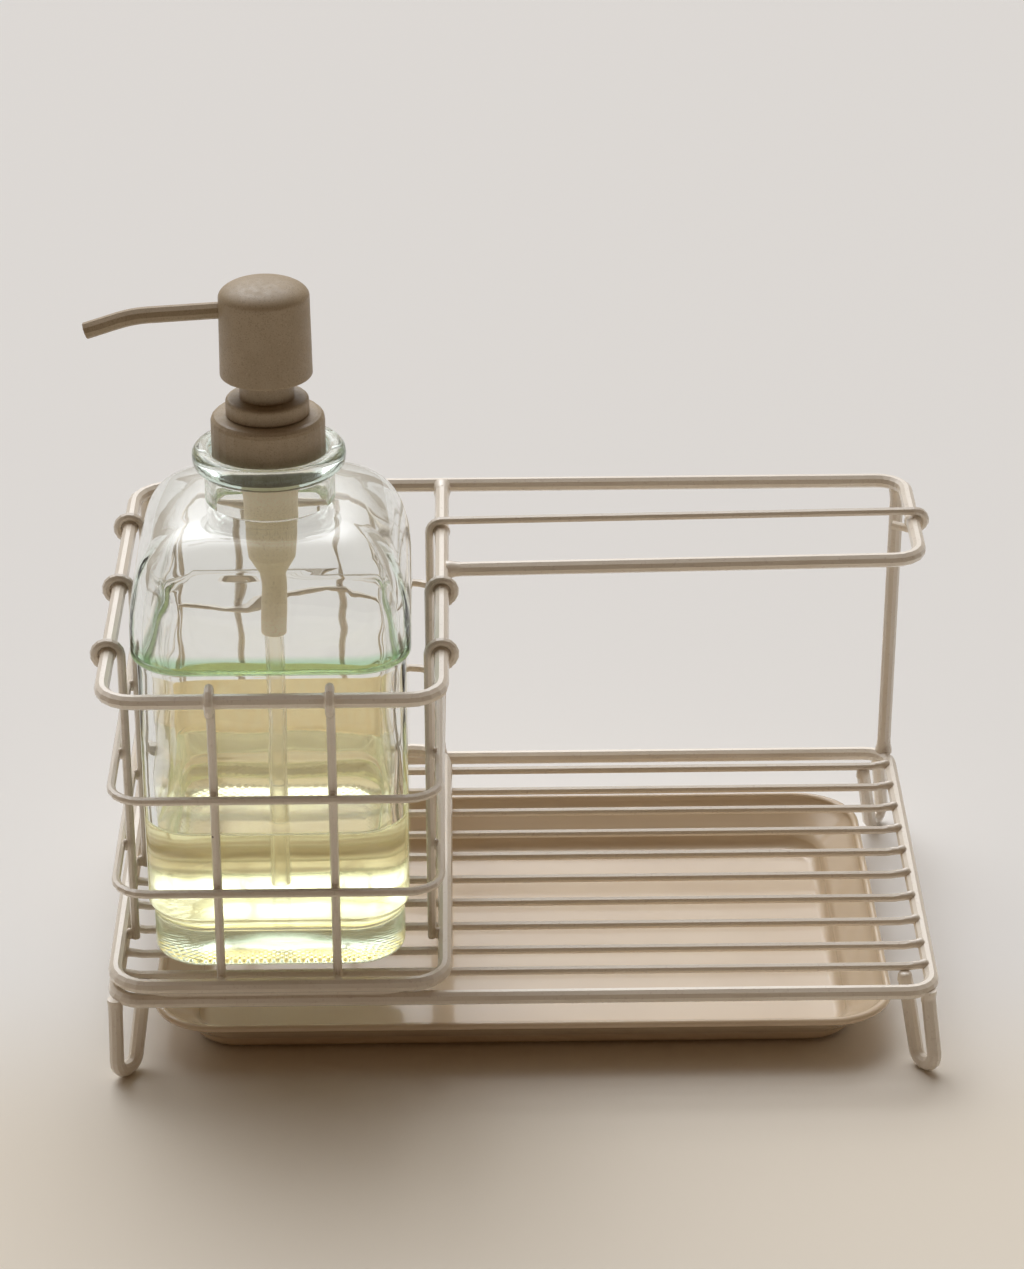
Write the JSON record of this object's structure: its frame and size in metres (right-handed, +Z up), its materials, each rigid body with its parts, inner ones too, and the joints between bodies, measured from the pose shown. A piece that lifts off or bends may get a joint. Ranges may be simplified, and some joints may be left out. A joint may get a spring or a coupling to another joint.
{
  "type": "soap dispenser caddy",
  "caption": "Bent wire sink caddy holding a square glass pump bottle in a basket, with a grid shelf, a towel loop and a slide-out drip tray.",
  "frame": {"origin": "centre of the caddy's bounding box, on the surface that it stands on", "axes": "+Z up, -Y the front, +X towards the towel loop; the bottle is on the -X side"},
  "size_m": [0.2628, 0.1684, 0.2405],
  "materials": {
    "powder_coat": "satin",
    "tray_enamel": "gloss",
    "bottle_glass": "gloss",
    "liquid_soap": "gloss",
    "taupe_plastic": "matte",
    "cylinder_plastic": "matte",
    "milky_plastic": "satin",
    "seal_rubber": "matte",
    "spring_steel": "satin"
  },
  "bodies": {
    "rack": {"base_ring": "powder_coat", "grid_wire_01": "powder_coat", "grid_wire_02": "powder_coat", "grid_wire_03": "powder_coat", "grid_wire_04": "powder_coat", "grid_wire_05": "powder_coat", "grid_wire_06": "powder_coat", "grid_wire_07": "powder_coat", "grid_wire_08": "powder_coat", "grid_wire_09": "powder_coat", "grid_wire_10": "powder_coat", "foot_front_left": "powder_coat", "foot_front_right": "powder_coat", "foot_rear_left": "powder_coat", "foot_rear_right": "powder_coat", "basket_base_ring": "powder_coat", "basket_hoop_lower": "powder_coat", "basket_hoop_upper": "powder_coat", "front_wire_left": "powder_coat", "front_wire_right": "powder_coat", "rear_wire_left": "powder_coat", "rear_wire_right": "powder_coat", "left_wire_front": "powder_coat", "left_wire_middle": "powder_coat", "left_wire_rear": "powder_coat", "divider_wire_front": "powder_coat", "divider_wire_middle": "powder_coat", "towel_bar_middle": "powder_coat", "top_rail": "powder_coat", "rear_post_left": "powder_coat", "rear_post_middle": "powder_coat", "rear_post_right": "powder_coat"},
    "tray": {"drip_tray": "tray_enamel"},
    "bottle": {"glass_bottle": "bottle_glass", "liquid_soap": "liquid_soap"},
    "closure": {"pump_collar": "taupe_plastic", "pump_retainer": "taupe_plastic", "closure_gasket": "seal_rubber", "pump_cylinder": "cylinder_plastic", "dip_tube": "milky_plastic", "inlet_ball": "spring_steel"},
    "plunger": {"piston_rod": "milky_plastic", "piston_seal": "milky_plastic", "return_spring": "spring_steel"},
    "head": {"pump_head": "taupe_plastic", "nozzle": "taupe_plastic"}
  },
  "joints": [
    {"name": "tray_slide", "type": "slide", "parent": "rack", "child": "tray", "axis": [0, -1, 0], "range_m": [0, 0.16]},
    {"name": "bottle_lift", "type": "slide", "parent": "rack", "child": "bottle", "axis": [0, 0, 1], "range_m": [0, 0.12]},
    {"name": "pump_lift", "type": "slide", "parent": "bottle", "child": "closure", "axis": [0, 0, 1], "range_m": [0, 0.145]},
    {"name": "pump_press", "type": "slide", "parent": "closure", "child": "plunger", "axis": [0, 0, -1], "range_m": [0, 0.011], "stiffness_N_per_m": 400, "springref_m": -0.012, "deforming": ["return_spring"]},
    {"name": "nozzle_swivel", "type": "hinge", "parent": "plunger", "child": "head", "pos_m": [-0.07666, -0.02629, 0.23], "axis": [0, 0, 1], "continuous": true}
  ]
}
